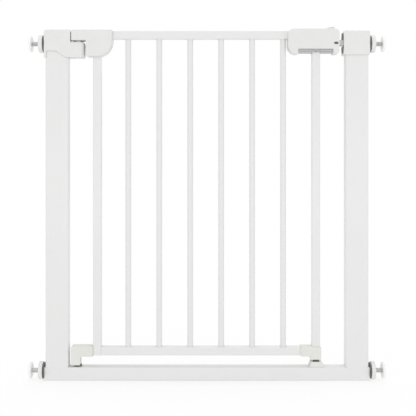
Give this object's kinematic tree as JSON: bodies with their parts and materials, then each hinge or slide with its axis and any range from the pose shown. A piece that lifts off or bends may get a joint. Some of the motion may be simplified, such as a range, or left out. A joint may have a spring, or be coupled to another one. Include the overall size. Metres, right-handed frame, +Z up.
{
  "type": "safety baby gate",
  "caption": "Pressure-mounted safety gate: steel U-frame, swinging barred door, squeeze latch and hand-wheel wall pads.",
  "frame": {"origin": "on the floor, at the middle of the gate's width and depth", "axes": "+X across the opening towards the latch side, +Y the way the door opens, +Z up"},
  "size_m": [0.781, 0.039, 0.7772],
  "materials": {
    "powder_coat": "white powder coat, satin",
    "white_plastic": "moulded, fine grain",
    "ivory_plastic": "moulded, fine grain",
    "grey_plastic": "moulded, fine grain",
    "dark_plastic": "moulded, fine grain",
    "bright_steel": "zinc plated",
    "pad_rubber": "grey rubber"
  },
  "bodies": {
    "frame": {"left_post": "powder_coat", "right_post": "powder_coat", "bottom_rail": "powder_coat", "left_rail_cap": "white_plastic", "right_rail_cap": "white_plastic", "hinge_housing": "white_plastic", "hinge_pin": "bright_steel", "pivot_bush": "dark_plastic", "pivot_pin": "bright_steel", "catch_housing": "white_plastic", "catch_insert": "dark_plastic", "floor_striker": "ivory_plastic", "housing_screws": "bright_steel", "upper_left_bush": "dark_plastic", "upper_right_bush": "dark_plastic", "lower_left_bush": "dark_plastic", "lower_right_bush": "dark_plastic"},
    "door": {"door_top_rail": "powder_coat", "door_bottom_rail": "powder_coat", "hinge_stile": "powder_coat", "latch_stile": "powder_coat", "door_bar_1": "powder_coat", "door_bar_2": "powder_coat", "door_bar_3": "powder_coat", "door_bar_4": "powder_coat", "door_bar_5": "powder_coat", "door_bar_6": "powder_coat", "hinge_cap_front": "white_plastic", "hinge_cap_back": "white_plastic", "pivot_foot": "ivory_plastic", "latch_foot_front": "ivory_plastic", "latch_foot_back": "ivory_plastic", "handle_front": "white_plastic", "handle_back": "white_plastic", "indicator_window": "dark_plastic", "door_screws": "bright_steel"},
    "release": {"trigger_bar": "grey_plastic", "cross_pin": "bright_steel", "pull_rod": "bright_steel", "floor_bolt": "dark_plastic", "release_spring": "bright_steel"},
    "bolt": {"latch_bolt": "white_plastic"},
    "thumb": {"thumb_slider": "white_plastic"},
    "upper_left_nut": {"upper_left_wheel": "white_plastic"},
    "upper_left_spindle": {"upper_left_rod": "bright_steel", "upper_left_pad_cup": "white_plastic", "upper_left_pad_rubber": "pad_rubber"},
    "upper_right_nut": {"upper_right_wheel": "white_plastic"},
    "upper_right_spindle": {"upper_right_rod": "bright_steel", "upper_right_pad_cup": "white_plastic", "upper_right_pad_rubber": "pad_rubber"},
    "lower_left_nut": {"lower_left_wheel": "white_plastic"},
    "lower_left_spindle": {"lower_left_rod": "bright_steel", "lower_left_pad_cup": "white_plastic", "lower_left_pad_rubber": "pad_rubber"},
    "lower_right_nut": {"lower_right_wheel": "white_plastic"},
    "lower_right_spindle": {"lower_right_rod": "bright_steel", "lower_right_pad_cup": "white_plastic", "lower_right_pad_rubber": "pad_rubber"}
  },
  "joints": [
    {"name": "door_swing", "type": "hinge", "parent": "frame", "child": "door", "pos_m": [-0.284, 0, 0.4], "axis": [0, 0, 1], "range_deg": [0, 90]},
    {"name": "release_slide", "type": "slide", "parent": "door", "child": "release", "axis": [0, 0, 1], "range_m": [0, 0.007], "stiffness_N_per_m": 600, "springref_m": -0.006, "deforming": ["release_spring"]},
    {"name": "bolt_slide", "type": "slide", "parent": "door", "child": "bolt", "axis": [-1, 0, 0], "range_m": [0, 0.0084]},
    {"name": "thumb_slide", "type": "slide", "parent": "door", "child": "thumb", "axis": [-1, 0, 0], "range_m": [0, 0.005], "stiffness_N_per_m": 200, "springref_m": -0.003},
    {"name": "upper_left_spindle_slide", "type": "slide", "parent": "frame", "child": "upper_left_spindle", "axis": [-1, 0, 0], "range_m": [-0.009, 0.021]},
    {"name": "upper_left_wheel_spin", "type": "hinge", "parent": "frame", "child": "upper_left_nut", "pos_m": [-0.3654, 0, 0.7404], "axis": [1, 0, 0], "range_deg": [-1080, 2520]},
    {"name": "upper_right_spindle_slide", "type": "slide", "parent": "frame", "child": "upper_right_spindle", "axis": [1, 0, 0], "range_m": [-0.009, 0.021]},
    {"name": "upper_right_wheel_spin", "type": "hinge", "parent": "frame", "child": "upper_right_nut", "pos_m": [0.3654, 0, 0.7404], "axis": [-1, 0, 0], "range_deg": [-1080, 2520]},
    {"name": "lower_left_spindle_slide", "type": "slide", "parent": "frame", "child": "lower_left_spindle", "axis": [-1, 0, 0], "range_m": [-0.009, 0.021]},
    {"name": "lower_left_wheel_spin", "type": "hinge", "parent": "frame", "child": "lower_left_nut", "pos_m": [-0.3654, 0, 0.0203], "axis": [1, 0, 0], "range_deg": [-1080, 2520]},
    {"name": "lower_right_spindle_slide", "type": "slide", "parent": "frame", "child": "lower_right_spindle", "axis": [1, 0, 0], "range_m": [-0.009, 0.021]},
    {"name": "lower_right_wheel_spin", "type": "hinge", "parent": "frame", "child": "lower_right_nut", "pos_m": [0.3654, 0, 0.0203], "axis": [-1, 0, 0], "range_deg": [-1080, 2520]}
  ],
  "couplings": [
    {"joint": "bolt_slide", "follows": "release_slide", "ratio": 1.2},
    {"joint": "upper_left_wheel_spin", "follows": "upper_left_spindle_slide", "rad_per_m": 2094.4},
    {"joint": "upper_right_wheel_spin", "follows": "upper_right_spindle_slide", "rad_per_m": 2094.4},
    {"joint": "lower_left_wheel_spin", "follows": "lower_left_spindle_slide", "rad_per_m": 2094.4},
    {"joint": "lower_right_wheel_spin", "follows": "lower_right_spindle_slide", "rad_per_m": 2094.4}
  ]
}
